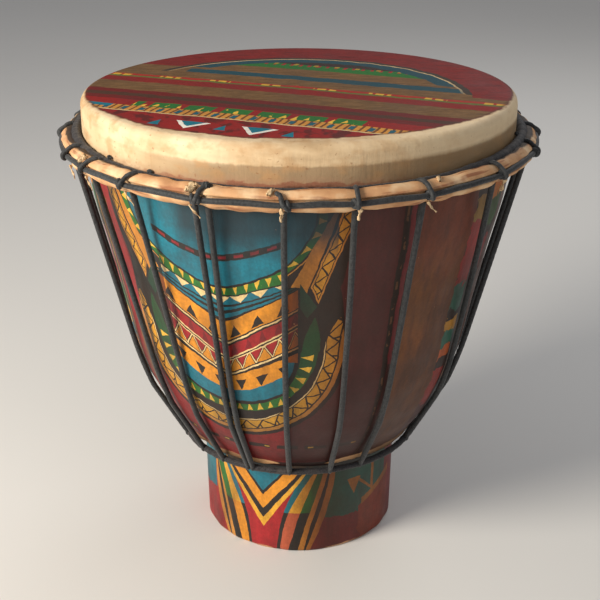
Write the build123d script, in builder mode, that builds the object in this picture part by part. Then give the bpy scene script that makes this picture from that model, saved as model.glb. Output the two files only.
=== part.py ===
from build123d import *
from math import cos, radians, sin, tan
import os

# Goblet drum: a carved wooden shell and a goatskin head.  The skin is rolled round a steel hoop
# and laced down, from a crown ring above the roll to a ring under the bowl.
# Millimetres, +Z up, origin at the centre of the foot's rim, front towards -Y.

# ---------------------------------------------------------------- driving dimensions
HEAD_RADIUS = 130.0          # outside of the skin's collar
HEAD_TOP = 289.0             # playing surface
SKIN = 1.0                   # hide thickness
HEAD_SHOULDER = 5.0          # round-over of the skin at the bearing edge
SKIN_CLEARANCE = 0.2         # hide to wood
RUNNING_GAP = 0.3            # between pieces that move apart when the drum is tuned
SEAT_GAP = 0.1               # between pieces that only rest on each other

SHELL_RADIUS = HEAD_RADIUS - SKIN - SKIN_CLEARANCE
SHELL_TOP = HEAD_TOP - SKIN - SKIN_CLEARANCE
COLLAR_BASE = 252.0          # below this the bowl starts to taper
COLLAR_WALL = 13.0
EDGE_LAND = 8.0              # width of the bearing edge
EDGE_BEVEL = 6.0
LIP_RADIUS = 75.1            # lower edge of the bowl
LIP_TOP = 73.5
LIP_UNDERSIDE = 69.9
LIP_SETBACK = 1.1
FOOT_TOP_RADIUS = 63.0
FOOT_RADIUS = 61.8
FOOT_BORE = 50.0
FOOT_ROUND = 1.5
THROAT_RADIUS = 42.0
THROAT_TOP = 78.0
THROAT_LENGTH = 20.0

# the bowl's outer and inner outlines between the lip and the collar, as radius and height
BOWL_OUTSIDE = [
    (84.5, 87.0),
    (91.9, 100.5),
    (99.8, 118.7),
    (105.5, 137.3),
    (110.7, 163.8),
    (117.9, 198.9),
    (125.0, 228.8),
]
BOWL_INSIDE = [(111.0, 221.0), (97.0, 163.8), (85.0, 118.7), (57.0, 88.5)]

ROPE = 3.8                   # lacing rope
ROPE_RADIUS = ROPE / 2

# sections of what circles the collar and the foot: centre as radius and height, then radius
ROLL_CENTRE = (136.7, 261.6)
ROLL_RADIUS = 6.6            # hide rolled round the flesh hoop
ROLL_ROOT = (3.0, 3.0)       # where the collar turns out into the roll, width and height
HOOP_CENTRE = (137.3, 261.0)
HOOP_RADIUS = 2.5
CROWN_CENTRE = (132.5, 265.4)
CROWN_RADIUS = 2.2
GIRTH_CENTRE = (142.9, 262.1)
RING_CENTRE = (75.6, 67.5)
RING_RADIUS = 2.35

# hitches of the lacing over the roll: degrees from the front, going right
HITCHES = [
    -67, -55, -40, -21, -3, 12, 28, 50, 71, 88, 105, 122, 140, 158, 176, 192, 209, 226, 242, 257, 272,
]
HITCH_REACH = ROLL_RADIUS + RUNNING_GAP + ROPE_RADIUS
HITCH_START = 28             # degrees round the roll, from its outside to its top
HITCH_END = 97
HITCH_TAIL = 4.2             # straight end that lies on the crown ring

# upright runs of the lacing: degrees from the front at the roll and at the ring below
RUNS = [
    (-67, -70), (-55, -52), (-40, -38), (-23, -24.6), (-19.8, -21.4), (-3.2, -4.4), (12, 14.3),
    (28, 29.5), (50, 64), (71, 74), (88, 89), (105, 106), (122, 121), (140, 138), (158, 157),
    (176, 174), (192, 193), (209, 211), (226, 227), (242, 241), (257, 258), (272, 274),
]
RUN_TOP = (139.0, 254.3)     # under the roll
RUN_BELLY = [(105.9, 128.5), (98.2, 107.0)]
RUN_TURN = 68.5              # height where a run reaches the ring
RUN_TAIL = 68.0              # height of its end inside the ring

TIES = [-66, -54, -39, -22, -5, 13, 29, 51]    # ends of the hide tied off beside some runs
TIE_RADIUS = 1.3
TIE_TIP = 0.8
TIE_SPAN = (249.5, 256.3)
TIE_CENTRE = RUN_TOP[0] + ROPE_RADIUS + RUNNING_GAP + TIE_RADIUS


# ---------------------------------------------------------------- helpers
def radial_plane(degrees):
    """Upright plane through the drum's axis: x is the radius, y the height."""
    out = Vector(sin(radians(degrees)), -cos(radians(degrees)), 0)
    return Plane(origin=(0, 0, 0), x_dir=out, z_dir=out.cross(Vector(0, 0, 1)))


def at(degrees, radius, height):
    """Point at an angle from the front, a radius and a height."""
    return Vector(radius * sin(radians(degrees)), -radius * cos(radians(degrees)), height)


def corner_radii(points, largest):
    """Radius at each corner of a taut route: as large as its two runs allow, up to a limit."""
    radii = []
    for before, corner, after in zip(points, points[1:], points[2:]):
        shorter = min((corner - before).length, (after - corner).length)
        half_turn = radians((corner - before).get_angle(after - corner)) / 2
        radii.append(min(0.45 * shorter / tan(half_turn), largest))
    return radii


# ---------------------------------------------------------------- shell
# One piece of wood: bowl, undercut lip and foot, hollow right through.
with BuildPart() as shell:
    with BuildSketch(Plane.XZ):
        with BuildLine():
            foot = Polyline(
                (FOOT_BORE, 0),
                (FOOT_RADIUS, 0),
                (FOOT_TOP_RADIUS, LIP_UNDERSIDE),
                (LIP_RADIUS - LIP_SETBACK, LIP_UNDERSIDE),
                (LIP_RADIUS, LIP_TOP),
            )
            bowl = Spline(
                [(LIP_RADIUS, LIP_TOP), *BOWL_OUTSIDE, (SHELL_RADIUS, COLLAR_BASE)],
                tangents=[(0.7, 1), (0, 1)],
            )
            edge = Polyline(
                (SHELL_RADIUS, COLLAR_BASE),
                (SHELL_RADIUS, SHELL_TOP),
                (SHELL_RADIUS - EDGE_LAND, SHELL_TOP),
                (SHELL_RADIUS - COLLAR_WALL, SHELL_TOP - EDGE_BEVEL),
                (SHELL_RADIUS - COLLAR_WALL, COLLAR_BASE),
            )
            inside = Spline(
                [(SHELL_RADIUS - COLLAR_WALL, COLLAR_BASE), *BOWL_INSIDE],
                tangents=[(0, -1), (-1, -0.5)],
            )
            throat = Polyline(
                BOWL_INSIDE[-1],
                (THROAT_RADIUS, THROAT_TOP),
                (THROAT_RADIUS, THROAT_TOP - THROAT_LENGTH),
                (FOOT_BORE, 0),
            )
        make_face()
    revolve(axis=Axis.Z)
    circles = shell.edges().filter_by(GeomType.CIRCLE).group_by(Axis.Z)
    fillet(circles[-1].sort_by(SortBy.RADIUS)[-1], HEAD_SHOULDER - SKIN)
    fillet(circles[0], FOOT_ROUND)
shell.part.label = "shell"

# ---------------------------------------------------------------- head
# One goatskin: stretched over the bearing edge, down the collar and rolled round the flesh hoop.
# The rope and the crown ring press grooves into the roll.
with BuildPart() as head_skin:
    with BuildSketch(Plane.XZ) as skin_section:
        with BuildLine():
            Polyline(
                (0, HEAD_TOP),
                (HEAD_RADIUS, HEAD_TOP),
                (HEAD_RADIUS, ROLL_CENTRE[1] - ROLL_ROOT[1]),
                (HEAD_RADIUS - SKIN, ROLL_CENTRE[1] - ROLL_ROOT[1]),
                (HEAD_RADIUS - SKIN, HEAD_TOP - SKIN),
                (0, HEAD_TOP - SKIN),
                close=True,
            )
        make_face()
        top_corners = skin_section.vertices().group_by(Axis.X)
        fillet(top_corners[-1].sort_by(Axis.Y)[-1], HEAD_SHOULDER)
        fillet(top_corners[-2].sort_by(Axis.Y)[-1], HEAD_SHOULDER - SKIN)
        with Locations(ROLL_CENTRE):
            Circle(ROLL_RADIUS)
        with Locations((HEAD_RADIUS - SKIN, ROLL_CENTRE[1] - ROLL_ROOT[1])):
            Rectangle(*ROLL_ROOT, align=Align.MIN)
        with Locations(HOOP_CENTRE):
            Circle(HOOP_RADIUS + RUNNING_GAP, mode=Mode.SUBTRACT)
        with Locations(CROWN_CENTRE):
            Circle(CROWN_RADIUS + RUNNING_GAP, mode=Mode.SUBTRACT)
        with Locations(GIRTH_CENTRE):
            Circle(ROPE_RADIUS + RUNNING_GAP, mode=Mode.SUBTRACT)
    revolve(axis=Axis.Z)
head_skin.part.label = "head_skin"

# ---------------------------------------------------------------- rings
# Three steel rings and the rope that girths the roll between its hitches.
with BuildPart() as flesh_hoop:
    with BuildSketch(Plane.XZ):
        with Locations(HOOP_CENTRE):
            Circle(HOOP_RADIUS)
    revolve(axis=Axis.Z)
flesh_hoop.part.label = "flesh_hoop"

with BuildPart() as crown_ring:
    with BuildSketch(Plane.XZ):
        with Locations(CROWN_CENTRE):
            Circle(CROWN_RADIUS)
    revolve(axis=Axis.Z)
crown_ring.part.label = "crown_ring"

with BuildPart() as girth_rope:
    with BuildSketch(Plane.XZ):
        with Locations(GIRTH_CENTRE):
            Circle(ROPE_RADIUS)
    revolve(axis=Axis.Z)
girth_rope.part.label = "girth_rope"

with BuildPart() as bottom_ring:
    with BuildSketch(Plane.XZ):
        with Locations(RING_CENTRE):
            Circle(RING_RADIUS)
    revolve(axis=Axis.Z)
bottom_ring.part.label = "bottom_ring"

pieces = [shell, head_skin, flesh_hoop, crown_ring, girth_rope, bottom_ring]

# ---------------------------------------------------------------- hitches over the roll
# Each crosses the roll in its own radial plane, from the girth rope to the crown ring.
for number, degrees in enumerate(HITCHES, 1):
    last = (
        ROLL_CENTRE[0] + HITCH_REACH * cos(radians(HITCH_END)),
        ROLL_CENTRE[1] + HITCH_REACH * sin(radians(HITCH_END)),
    )
    tail = (
        last[0] - HITCH_TAIL * sin(radians(HITCH_END)),
        last[1] + HITCH_TAIL * cos(radians(HITCH_END)),
    )
    with BuildPart() as hitch:
        with BuildLine(radial_plane(degrees)) as over_roll:
            CenterArc(ROLL_CENTRE, HITCH_REACH, HITCH_START, HITCH_END - HITCH_START)
            Line(last, tail)
        with BuildSketch(Plane(origin=over_roll.line @ 0, z_dir=over_roll.line % 0)):
            Circle(ROPE_RADIUS)
        sweep(path=over_roll.line)
    hitch.part.label = f"hitch_{number:02d}"
    pieces.append(hitch)

# ---------------------------------------------------------------- upright runs
# Straight and taut from the roll to the belly, round it, and hooked round the ring from outside.
hook_outside = RING_CENTRE[0] + RING_RADIUS + SEAT_GAP + ROPE_RADIUS
hook_inside = 2 * RING_CENTRE[0] - hook_outside
hook_bottom = RING_CENTRE[1] - (hook_outside - RING_CENTRE[0])
hook_radius = hook_outside - RING_CENTRE[0] - 0.05

for number, (top_degrees, ring_degrees) in enumerate(RUNS, 1):
    drift = (ring_degrees - top_degrees) / (RUN_TOP[1] - RUN_TURN)
    straight = [
        at(top_degrees + drift * (RUN_TOP[1] - height), radius, height)
        for radius, height in [RUN_TOP, *RUN_BELLY]
    ]
    hook = [
        at(ring_degrees, hook_outside, RUN_TURN),
        at(ring_degrees, hook_outside, hook_bottom),
        at(ring_degrees, hook_inside, hook_bottom),
        at(ring_degrees, hook_inside, RUN_TAIL),
    ]
    taut = corner_radii([*straight, hook[0]], 400)
    with BuildPart() as run:
        with BuildLine() as route:
            FilletPolyline(*straight, *hook, radius=[*taut, hook_radius, hook_radius, hook_radius])
        with BuildSketch(Plane(origin=route.line @ 0, z_dir=route.line % 0)):
            Circle(ROPE_RADIUS)
        sweep(path=route.line)
    run.part.label = f"lacing_run_{number:02d}"
    pieces.append(run)
    print(run.part.label, "corner radii", [round(radius, 1) for radius in taut])

# ---------------------------------------------------------------- hide ties
# Twisted ends of the hide that hang under the roll, just outside the lacing.
with BuildPart() as hide_ties:
    for degrees in TIES:
        foot_of_tie = at(degrees, TIE_CENTRE, TIE_SPAN[0])
        with BuildSketch(Plane.XY.offset(TIE_SPAN[0])):
            with Locations((foot_of_tie.X, foot_of_tie.Y)):
                Circle(TIE_TIP)
        with BuildSketch(Plane.XY.offset(TIE_SPAN[1])):
            with Locations((foot_of_tie.X, foot_of_tie.Y)):
                Circle(TIE_RADIUS)
        loft()
hide_ties.part.label = "hide_ties"
pieces.append(hide_ties)

# ---------------------------------------------------------------- files
os.makedirs("parts", exist_ok=True)
for piece in pieces:
    export_step(piece.part, f"parts/{piece.part.label}.step")
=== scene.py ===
"""Visual model of a laced goblet drum: a painted carved shell, a rolled goatskin head and its rope lacing.

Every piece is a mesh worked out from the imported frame, in metres, front towards -Y.
Bearings are degrees from the front, going right.
"""
import math
from functools import partialmethod

import bpy
import numpy as np
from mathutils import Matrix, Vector


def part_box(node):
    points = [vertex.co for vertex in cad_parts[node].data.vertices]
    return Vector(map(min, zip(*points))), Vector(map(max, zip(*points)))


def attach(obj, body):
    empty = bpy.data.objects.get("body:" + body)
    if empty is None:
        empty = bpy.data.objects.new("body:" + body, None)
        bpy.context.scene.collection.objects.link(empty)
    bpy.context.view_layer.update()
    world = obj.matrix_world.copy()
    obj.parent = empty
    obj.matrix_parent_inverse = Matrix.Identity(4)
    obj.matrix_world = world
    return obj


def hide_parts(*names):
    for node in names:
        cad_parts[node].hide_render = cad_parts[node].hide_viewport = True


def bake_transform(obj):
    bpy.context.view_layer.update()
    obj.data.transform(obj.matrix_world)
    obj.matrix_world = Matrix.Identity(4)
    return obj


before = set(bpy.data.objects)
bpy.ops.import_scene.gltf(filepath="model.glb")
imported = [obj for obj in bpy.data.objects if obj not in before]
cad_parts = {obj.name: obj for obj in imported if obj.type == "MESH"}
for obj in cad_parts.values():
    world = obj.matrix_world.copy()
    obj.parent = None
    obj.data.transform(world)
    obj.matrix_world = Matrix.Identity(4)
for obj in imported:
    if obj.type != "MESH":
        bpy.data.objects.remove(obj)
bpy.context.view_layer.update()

MM = 0.001
RNG = np.random.default_rng(7)
WIDEST = 137.0               # millimetres from the axis where noise_round's lumps are at their stated size


# ================================================================ sizes, from the frame
def ring_section(node):
    """Centre (radius, height) and thickness radius of a round ring."""
    low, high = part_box(node)
    thick = (high.z - low.z) / 2
    return np.array([high.x - thick, (low.z + high.z) / 2]), thick


def bearing(node, low=-1.0, high=1.0):
    """Bearing of the part of a node that lies between two heights."""
    co = np.array([v.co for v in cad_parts[node].data.vertices])
    x, y = co[(co[:, 2] >= low) & (co[:, 2] <= high)][:, :2].mean(0)
    return math.degrees(math.atan2(x, -y))


HEAD_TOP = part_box("head_skin")[1].z
SKIN_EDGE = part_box("head_skin")[1].x               # outside of the roll
SHELL_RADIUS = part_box("shell")[1].x
HEAD_RADIUS = SHELL_RADIUS + 1.2 * MM
SKIN = 1.0 * MM
SHOULDER = 5.0 * MM
HOOP = ring_section("flesh_hoop")[0]
CROWN, CROWN_THICK = ring_section("crown_ring")
GIRTH, GIRTH_THICK = ring_section("girth_rope")
RING, RING_THICK = ring_section("bottom_ring")
ROLL = HOOP + np.array([-0.6, 0.6]) * MM           # the hide rolled round the hoop
ROLL_THICK = SKIN_EDGE - ROLL[0]
ROPE_THICK = GIRTH_THICK
HITCH_NODES = sorted(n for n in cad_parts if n.startswith("hitch_"))
RUN_NODES = sorted(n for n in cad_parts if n.startswith("lacing_run_"))
HITCH_BEARINGS = [bearing(n) for n in HITCH_NODES]


# ================================================================ shader fields
class Field:
    """One number at each point of a surface, worked out by shader nodes. Fields combine like numbers."""

    def __init__(self, tree, socket):
        self.tree = tree
        self.socket = socket

    def math(self, operation, *others):
        node = self.tree.nodes.new("ShaderNodeMath")
        node.operation = operation
        for slot, value in zip(node.inputs, (self, *others)):
            connect(self.tree, value, slot)
        return Field(self.tree, node.outputs[0])

    __add__ = partialmethod(math, "ADD")
    __sub__ = partialmethod(math, "SUBTRACT")
    __mul__ = __and__ = partialmethod(math, "MULTIPLY")
    __truediv__ = partialmethod(math, "DIVIDE")
    __neg__ = partialmethod(math, "MULTIPLY", -1.0)
    __or__ = partialmethod(math, "MAXIMUM")
    least = partialmethod(math, "MINIMUM")
    __gt__ = partialmethod(math, "GREATER_THAN")
    __lt__ = partialmethod(math, "LESS_THAN")
    abs = partialmethod(math, "ABSOLUTE")
    power = partialmethod(math, "POWER")
    scaled = partialmethod(math, "MULTIPLY_ADD")     # by a factor, then plus an offset

    def outside(self):
        """The mask the other way round."""
        node = self.tree.nodes.new("ShaderNodeMath")
        node.operation = "SUBTRACT"
        node.inputs[0].default_value = 1.0
        self.tree.links.new(self.socket, node.inputs[1])
        return Field(self.tree, node.outputs[0])

    def between(self, low, high):
        """1 inside low..high, 0 elsewhere."""
        return (self > low) & (self < high)

    def wrapped(self, low, high):
        return self.math("WRAP", high, low)

    def bounce(self, length):
        """Goes up and down between 0 and length."""
        return self.math("PINGPONG", length)

    def bounce_share(self, length):
        """Goes up and down between 0 and 1, over a length each way."""
        return self.bounce(length) * (1 / length)

    def ramp(self, low, high):
        """0 at low, 1 at high, straight between, held beyond."""
        node = self.tree.nodes.new("ShaderNodeMapRange")
        connect(self.tree, self, node.inputs["Value"])
        node.inputs["From Min"].default_value = low
        node.inputs["From Max"].default_value = high
        return Field(self.tree, node.outputs[0])


def connect(tree, value, slot):
    """Links a field or a socket to a node's input, or sets the input to a number or #rrggbb colour."""
    if isinstance(value, Field):
        value = value.socket
    if isinstance(value, str):
        value = rgb(value)
    if isinstance(value, bpy.types.NodeSocket):
        tree.links.new(value, slot)
    else:
        slot.default_value = value


def rgb(code):
    """Linear colour from a #rrggbb code."""
    parts = [int(code[i:i + 2], 16) / 255 for i in (1, 3, 5)]
    linear = [c / 12.92 if c <= 0.04045 else ((c + 0.055) / 1.055) ** 2.4 for c in parts]
    return (*linear, 1.0)


RED = "#9e2226"
DARK_RED = "#7d2126"
MAROON = "#5c2527"
TEAL = "#186e80"
DEEP_TEAL = "#1f5a68"
ORANGE = "#dc8e28"
AMBER = "#c98a3a"
YELLOW = "#e4b440"
GOLD = "#dba033"
GREEN = "#296a2c"
BRIGHT_RED = "#bf3229"
BRIGHT_TEAL = "#2b8a82"
BLACK = "#25221f"
CREAM = "#f0cf92"
WHITE = "#e8e2d6"
BROWN = "#74452c"
WOOD = "#c08a58"
PALE_WOOD = "#d9a878"
BRONZE = "#b47a31"


class Finish:
    """A material in the making: coats of colour laid one over another, then a Principled surface."""

    def __init__(self, name, colour):
        self.material = bpy.data.materials.new(name)
        self.material.use_nodes = True
        self.tree = self.material.node_tree
        self.shader = self.tree.nodes["Principled BSDF"]
        self.material.diffuse_color = rgb(colour)
        self.colour = colour
        self.place = self.tree.nodes.new("ShaderNodeTexCoord").outputs["Object"]
        split = self.tree.nodes.new("ShaderNodeSeparateXYZ")
        self.tree.links.new(self.place, split.inputs[0])
        metres = [Field(self.tree, s) for s in split.outputs]
        self.x, self.y, self.z = (m * 1000.0 for m in metres)

    def bearing(self):
        """Degrees from the front, going right."""
        return self.x.math("ARCTAN2", -self.y) * math.degrees(1)

    def radius(self):
        """Millimetres from the drum's axis."""
        return (self.x * self.x + self.y * self.y).power(0.5)

    def noise(self, size, detail=2.0, stretch=(1, 1, 1), roughness=0.5, seed=0.0):
        """Cloudy field about 0.5 whose lumps are size millimetres across, drawn out by stretch."""
        mapping = self.tree.nodes.new("ShaderNodeMapping")
        self.tree.links.new(self.place, mapping.inputs["Vector"])
        mapping.inputs["Scale"].default_value = [1000.0 / size / s for s in stretch]
        mapping.inputs["Location"].default_value = (seed, seed * 0.7, -seed)
        node = self.tree.nodes.new("ShaderNodeTexNoise")
        self.tree.links.new(mapping.outputs[0], node.inputs["Vector"])
        node.inputs["Scale"].default_value = 1.0
        node.inputs["Detail"].default_value = detail
        node.inputs["Roughness"].default_value = roughness
        return Field(self.tree, node.outputs[0])

    def noise_round(self, along, up, detail=3.0, seed=0.0):
        """Cloudy field drawn out round the drum: lumps are along by up millimetres."""
        join = self.tree.nodes.new("ShaderNodeCombineXYZ")
        connect(self.tree, self.x.math("ARCTAN2", -self.y) * (WIDEST / along), join.inputs[0])
        connect(self.tree, self.z.scaled(1.0 / up, seed), join.inputs[1])
        connect(self.tree, self.radius() * (1.0 / up), join.inputs[2])
        node = self.tree.nodes.new("ShaderNodeTexNoise")
        self.tree.links.new(join.outputs[0], node.inputs["Vector"])
        node.inputs["Scale"].default_value = 1.0
        node.inputs["Detail"].default_value = detail
        return Field(self.tree, node.outputs[0])

    def coat(self, colour, mask, blend="MIX"):
        """Lays a colour over the last one where the mask is 1."""
        node = self.tree.nodes.new("ShaderNodeMix")
        node.data_type = "RGBA"
        node.blend_type = blend
        connect(self.tree, mask, node.inputs["Factor"])
        connect(self.tree, self.colour, node.inputs[6])
        connect(self.tree, colour, node.inputs[7])
        self.colour = node.outputs[2]

    def blocks(self, value, stops):
        """Colour that steps at the given values: (value, colour) from the lowest up."""
        low, high = stops[0][0], stops[-1][0] + 1.0
        ramp = self.tree.nodes.new("ShaderNodeValToRGB")
        ramp.color_ramp.interpolation = "CONSTANT"
        elements = ramp.color_ramp.elements
        elements.remove(elements[1])
        for number, (at, colour) in enumerate(stops):
            element = elements[0] if number == 0 else elements.new((at - low) / (high - low))
            element.color = rgb(colour)
        self.tree.links.new(value.ramp(low, high).socket, ramp.inputs[0])
        return ramp.outputs[0]

    def tone(self, field, low, high, amount):
        """Darkens where a cloudy field is low and lightens where it is high."""
        shade = field.ramp(low, high).scaled(amount * 2, 1.0 - amount)
        node = self.tree.nodes.new("ShaderNodeHueSaturation")
        connect(self.tree, self.colour, node.inputs["Color"])
        connect(self.tree, shade, node.inputs["Value"])
        self.colour = node.outputs[0]

    def done(self, roughness, bump=None, depth=0.3 * MM, specular=0.5, sheen=0.0):
        """Connects the colour, the roughness and the bump to the shader, and gives the material."""
        connect(self.tree, self.colour, self.shader.inputs["Base Color"])
        connect(self.tree, roughness, self.shader.inputs["Roughness"])
        self.shader.inputs["Specular IOR Level"].default_value = specular
        self.shader.inputs["Sheen Weight"].default_value = sheen
        if bump is not None:
            node = self.tree.nodes.new("ShaderNodeBump")
            node.inputs["Strength"].default_value = 1.0
            node.inputs["Distance"].default_value = depth
            connect(self.tree, bump, node.inputs["Height"])
            self.tree.links.new(node.outputs[0], self.shader.inputs["Normal"])
        return self.material


# ================================================================ painted ornament
MOTIF_BEARING = -21.5        # middle of the painted ornament; it comes again on the far side
MOTIF_REPEAT = 180
SWAG_HALF = 18.2             # half width in degrees of the stack of swags
SWAG_EDGE = 21.8             # and of its middle rows, between the heights of SWAG_EDGE_SPAN
SWAG_EDGE_SPAN = (158, 208)
SWAG_SCALE = 1.94            # millimetres to a degree along the swags
RINGS_HEIGHT = 165         # height of the centre of the U-shaped rings
RINGS_SQUEEZE = 1.80         # millimetres to a degree, so that the rings come out round

# swags from the top down: height at the side and in the middle, bend, colour and teeth
SWAGS = [
    (221.5, 205, 1.6, BLACK, None),
    (220, 203.5, 1.6, GREEN, (YELLOW, 3, 6.4, "down")),
    (212, 199.3, 1.5, BLACK, None),
    (210.8, 198.3, 1.4, CREAM, (TEAL, 5.6, 5.4, "full")),
    (207.2, 192.6, 1.3, BLACK, None),
    (206.2, 190.7, 1.2, TEAL, None),
    (205, 188.8, 1.2, BLACK, None),
    (204, 186.7, 1.2, TEAL, None),
    (203.2, 184, 1.2, BLACK, None),
    (202.5, 181.2, 1.1, ORANGE, (BLACK, 6.6, 8.2, "up")),
    (190.8, 169, 1.1, BLACK, None),
    (190, 167.9, 1.1, CREAM, None),
    (188.8, 166.8, 1.1, BLACK, None),
    (187.6, 165.5, 1.1, RED, (DARK_RED, 4.4, 8, "up")),
    (180, 157.6, 1.1, CREAM, None),
    (179, 156.6, 1.1, BLACK, None),
    (177.8, 155.8, 1.1, CREAM, None),
    (177, 155, 1.1, RED, (ORANGE, 4.4, 10, "full")),
    (166.4, 147.8, 1.1, BLACK, None),
    (165.6, 147, 1.1, CREAM, None),
    (164.4, 146, 1.1, BLACK, None),
    (161.5, 145, 1.1, ORANGE, (BLACK, 6.6, 8.2, "down")),
    (150, 135.6, 1.7, TEAL, None),
    (138.6, 127.3, 2, BLACK, None),
    (136.8, 125, 2, GREEN, (YELLOW, 3.4, 6, "up")),
    (128.8, 120.6, 2, BLACK, None),
]
STACK_FOOT = (123, 116, 2)     # where the last swag ends


def teeth(along, across, half_pitch, height, style):
    """Mask of a row of triangles; across is the distance above the row's lower line."""
    step = along.bounce_share(half_pitch)
    level = across / height
    if style == "full":
        return level < step
    if style == "down":
        level = level.outside()
    narrow = step.scaled(1.9, -0.9)
    return (level > 0.10) & (level.scaled(1.15, -0.12) < narrow)


def zigzag(along, across, half_pitch, height, width):
    """Mask of a line that zigzags across a row."""
    return (across * (1 / height) - along.bounce_share(half_pitch)).abs() < width


def paint_swags(finish, half, height):
    """The stack of swags in the middle of the ornament."""
    coat = finish.coat
    share = half * (1 / SWAG_HALF)
    bends = {bend: share.power(bend) for bend in sorted({row[2] for row in SWAGS})}
    foot = bends[STACK_FOOT[2]].scaled(STACK_FOOT[0] - STACK_FOOT[1], STACK_FOOT[1])
    beside = (half > SWAG_HALF) & (half < SWAG_EDGE) & height.between(*SWAG_EDGE_SPAN)
    inside = ((half < SWAG_HALF) & (height > foot)) | beside
    coat(TEAL, inside)
    for (side, middle, bend, colour, row), lower in zip(SWAGS, [*SWAGS[1:], SWAGS[-1]]):
        low_side, low_middle, low_bend = lower[:3]
        band = inside & (height < bends[bend].scaled(side - middle, middle))
        coat(colour, band)
        if row is None:
            continue
        colour, half_pitch, tall, style = row
        above = height - bends[low_bend].scaled(low_side - low_middle, low_middle)
        coat(colour, band & teeth(half * SWAG_SCALE, above, half_pitch, tall, style))
        if colour == ORANGE:
            coat(BLACK, band & zigzag(half * SWAG_SCALE, above, half_pitch, tall, 0.17))
            coat(CREAM, band & zigzag(half * SWAG_SCALE, above, half_pitch, tall, 0.07))
    coat("#8f7462", beside, "MULTIPLY")
    coat(BLACK, beside & (half > SWAG_EDGE - 0.6))
    # the dark arc with red dashes across the teal field
    arc = height - bends[1.6].scaled(11.5, 221)
    coat(BLACK, inside & arc.between(0, 4.2))
    dashes = (half * SWAG_SCALE).bounce(4.2) > 1.9
    coat(DARK_RED, inside & arc.between(1.2, 3) & dashes)


def paint_rings(finish, half, height):
    """The U-shaped rings round the stack, whose ends close in to tips above their centre."""
    coat = finish.coat
    across = half * RINGS_SQUEEZE
    drop = (height - RINGS_HEIGHT) * -1
    reach = (across * across + drop * drop).power(0.5)
    turn = drop.math("ARCTAN2", across) * math.degrees(1)
    below = height < RINGS_HEIGHT
    above = height > RINGS_HEIGHT
    rise = (height - RINGS_HEIGHT) * (1 / 23.3)
    horn = rise.math("MAXIMUM", 0).power(1.8)
    middle = rise.scaled(1.9, 56.9)
    outer_horn = above & ((across - middle).abs() < horn.scaled(-5.5, 5.5))
    inner_horn = above & ((across - rise.scaled(2.4, 44.6)).abs() < horn.scaled(-4.6, 4.6))
    shadow = above & (half < (height - 206).abs().scaled(0.075, 32.4)) & (half > SWAG_HALF)
    coat(BLACK, (reach.between(36, 65.2) & below) | shadow)
    beside = half > SWAG_HALF - 0.6
    coat(DEEP_TEAL, beside & below & (reach < 37.4) & (height < 160))
    side_on = turn.ramp(50, 0)
    low = side_on.scaled(-1.4, 41)
    green = ((reach > low) & (reach < side_on.scaled(3.2, 45.6)) & below) | inner_horn
    coat(GREEN, green & beside)
    coat("#1f4a2a", green & beside & (side_on > 0.55))
    points = teeth(turn + rise * 30 * above, reach - low, 5, side_on.scaled(2.2, 5.6), "down")
    coat(YELLOW, green & beside & points)
    gold = (reach.between(51.4, 62.4) & below) | outer_horn
    share = ((reach - 52.6) * below + (across - middle + 4.3) * above) * (1 / 6.4)
    coat(AMBER, gold)
    coat(CREAM, gold & (share < 0.5))
    coat(BLACK, gold & share.between(-0.08, 1.14))
    field = gold & share.between(0, 1)
    coat(GOLD, field)
    coat(BLACK, field & ((share - turn.bounce_share(6)).abs() < 0.11))
    coat(BLACK, field & ((turn + 3).bounce(6) > 5.5) & (share > 0.45))


def paint_arms(finish, half, height):
    """Strips that lean outwards above the swags: teal, green with yellow, a gold leaf and a zigzag arm."""
    coat = finish.coat
    reach = height.scaled(-1, 253)
    strip = half - (reach * reach).scaled(-0.0078, 27.4)
    coat(TEAL, (strip < -1.6) & (height > 216) & (half > SWAG_HALF - 0.5))
    coat(BLACK, (strip.abs() < 1.6) & (height > 216) & (half > SWAG_HALF - 0.5))
    green = (strip.abs() < 1.1) & (height > 213) & (half > SWAG_HALF - 1.5)
    coat(GREEN, green)
    coat(YELLOW, green & teeth(height, strip + 1.1, 4.2, 2.4, "up"))
    coat(AMBER, ((strip - 2).abs() < 0.22) & height.between(212, 234))
    leaf = (half - height.scaled(0.196, -18.97)).abs() < height.scaled(-0.042, 11.2)
    coat("#c07f30", leaf & (height > 200))
    wedge = (height < half.scaled(-3.4, 284.5)) & (height > (half - 23.9).abs().scaled(3, 188))
    coat("#22402f", wedge & (half > 21.8))
    inner, outer = height.scaled(0.163, -9.2), height.scaled(0.15, -2.5)
    foot, tip = height.scaled(-0.183, 62.6), height.scaled(0.19, -10.9)
    edge = (half - inner).least(half - foot).least(outer - half).least(tip - half)
    coat(AMBER, edge > 0)
    coat(BLACK, edge > 0.45)
    coat(GOLD, edge > 0.68)
    share = (half - inner - 0.68) * (1 / 2.4)
    coat(BLACK, (edge > 0.68) & ((share - height.bounce_share(5)).abs() < 0.12))


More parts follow.
